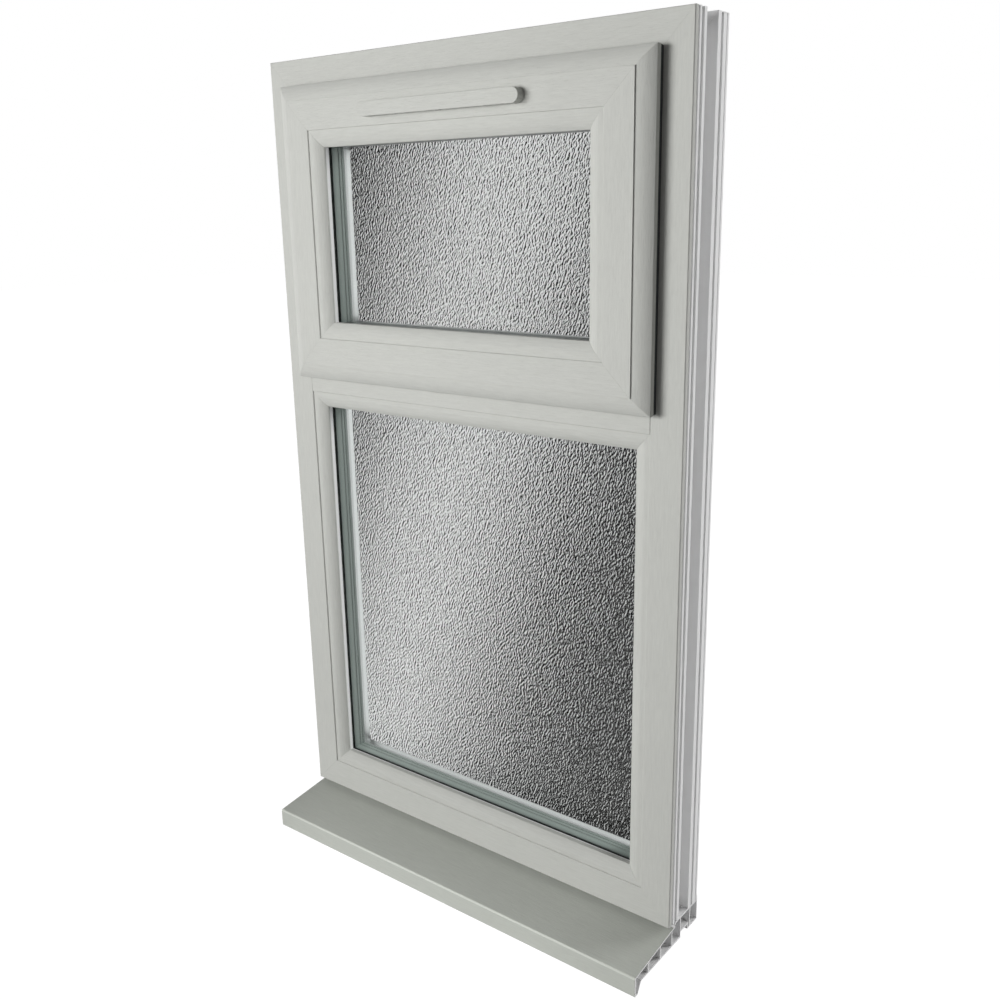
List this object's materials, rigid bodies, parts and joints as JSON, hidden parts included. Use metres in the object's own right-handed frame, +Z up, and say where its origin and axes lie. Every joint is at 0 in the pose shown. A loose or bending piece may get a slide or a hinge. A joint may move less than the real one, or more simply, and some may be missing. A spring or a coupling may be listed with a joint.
{
  "type": "top-hung window",
  "caption": "Foiled plastic window with a top-hung opening sash over a fixed light, obscure glazing, trickle vent and stub cill.",
  "frame": {"origin": "centre of the flat bed face under the cill, at mid width", "axes": "+Z up, +X to the right seen from outside, +Y from outside into the room; the sash opens toward -Y"},
  "size_m": [0.6, 0.166, 1.0535],
  "materials": {
    "foil_plastic": "woodgrain foil outside, white plastic inside",
    "galvanised_steel": "galvanised",
    "clear_glass": "clear",
    "obscure_glass": "stippled obscure",
    "spacer": "satin",
    "seal_rubber": "matt",
    "black_plastic": "matt",
    "stainless": "brushed",
    "lock_steel": "zinc plated",
    "white_plastic": "satin",
    "white_metal": "powder coated"
  },
  "bodies": {
    "frame": {"frame_head": "foil_plastic", "frame_left_jamb": "foil_plastic", "frame_right_jamb": "foil_plastic", "frame_bottom_rail": "foil_plastic", "transom": "foil_plastic", "frame_reinforcement": "galvanised_steel", "cill": "foil_plastic", "lower_outer_pane": "clear_glass", "lower_middle_pane": "clear_glass", "lower_obscure_pane": "obscure_glass", "lower_spacers": "spacer", "lower_edge_seal": "seal_rubber", "lower_outer_gasket": "seal_rubber", "lower_inner_gasket": "seal_rubber", "lower_packers": "black_plastic", "lower_bead_top": "foil_plastic", "lower_bead_bottom": "foil_plastic", "lower_bead_left": "foil_plastic", "lower_bead_right": "foil_plastic", "frame_seal": "seal_rubber", "stay_track_left": "stainless", "stay_track_right": "stainless", "lock_keeps": "stainless", "frame_screws": "lock_steel"},
    "long_arms": {"long_arm_left": "stainless", "long_arm_right": "stainless"},
    "short_arms": {"short_arm_left": "stainless", "short_arm_right": "stainless"},
    "links": {"stay_links": "stainless"},
    "sliders": {"stay_sliders": "black_plastic"},
    "sash": {"sash_top_rail": "foil_plastic", "sash_bottom_rail": "foil_plastic", "sash_left_stile": "foil_plastic", "sash_right_stile": "foil_plastic", "sash_reinforcement": "galvanised_steel", "upper_outer_pane": "clear_glass", "upper_middle_pane": "clear_glass", "upper_obscure_pane": "obscure_glass", "upper_spacers": "spacer", "upper_edge_seal": "seal_rubber", "upper_outer_gasket": "seal_rubber", "upper_inner_gasket": "seal_rubber", "upper_packers": "black_plastic", "upper_bead_top": "foil_plastic", "upper_bead_bottom": "foil_plastic", "upper_bead_left": "foil_plastic", "upper_bead_right": "foil_plastic", "sash_seal": "seal_rubber", "sash_bar_left": "stainless", "sash_bar_right": "stainless", "sash_screws": "lock_steel", "vent_canopy": "foil_plastic", "vent_base": "white_plastic", "lock_case": "stainless", "handle_base": "white_metal"},
    "drive_rail": {"drive_rail": "lock_steel"},
    "handle": {"handle_lever": "white_metal", "gear_spindle": "lock_steel"},
    "vent_flap": {"vent_flap": "white_plastic"}
  },
  "joints": [
    {"name": "long_arm_pivot", "type": "hinge", "parent": "frame", "child": "long_arms", "pos_m": [0, 0.033, 0.815], "axis": [1, 0, 0], "range_deg": [0, 45]},
    {"name": "sash_swing", "type": "hinge", "parent": "long_arms", "child": "sash", "pos_m": [0, 0.033, 0.915], "axis": [-1, 0, 0], "range_deg": [0, 90]},
    {"name": "link_pivot", "type": "hinge", "parent": "long_arms", "child": "links", "pos_m": [0, 0.033, 0.875], "axis": [-1, 0, 0], "range_deg": [0, 90]},
    {"name": "slider_pivot", "type": "hinge", "parent": "links", "child": "sliders", "pos_m": [0, 0.033, 0.935], "axis": [1, 0, 0], "range_deg": [0, 45]},
    {"name": "short_arm_pivot", "type": "hinge", "parent": "sash", "child": "short_arms", "pos_m": [0, 0.033, 0.975], "axis": [1, 0, 0], "range_deg": [0, 90]},
    {"name": "handle_turn", "type": "hinge", "parent": "sash", "child": "handle", "pos_m": [0, 0.063, 0.6925], "axis": [0, 1, 0], "range_deg": [0, 90]},
    {"name": "rail_slide", "type": "slide", "parent": "sash", "child": "drive_rail", "axis": [-1, 0, 0], "range_m": [0, 0.016]},
    {"name": "flap_hinge", "type": "hinge", "parent": "sash", "child": "vent_flap", "pos_m": [0, 0.0809, 0.95225], "axis": [-1, 0, 0], "range_deg": [0, 35]}
  ],
  "couplings": [
    {"joint": "long_arm_pivot", "follows": "sash_swing", "ratio": 0.5},
    {"joint": "link_pivot", "follows": "sash_swing", "ratio": 1},
    {"joint": "slider_pivot", "follows": "sash_swing", "ratio": 0.5},
    {"joint": "short_arm_pivot", "follows": "sash_swing", "ratio": 1},
    {"joint": "rail_slide", "follows": "handle_turn", "m_per_rad": 0.010186}
  ]
}
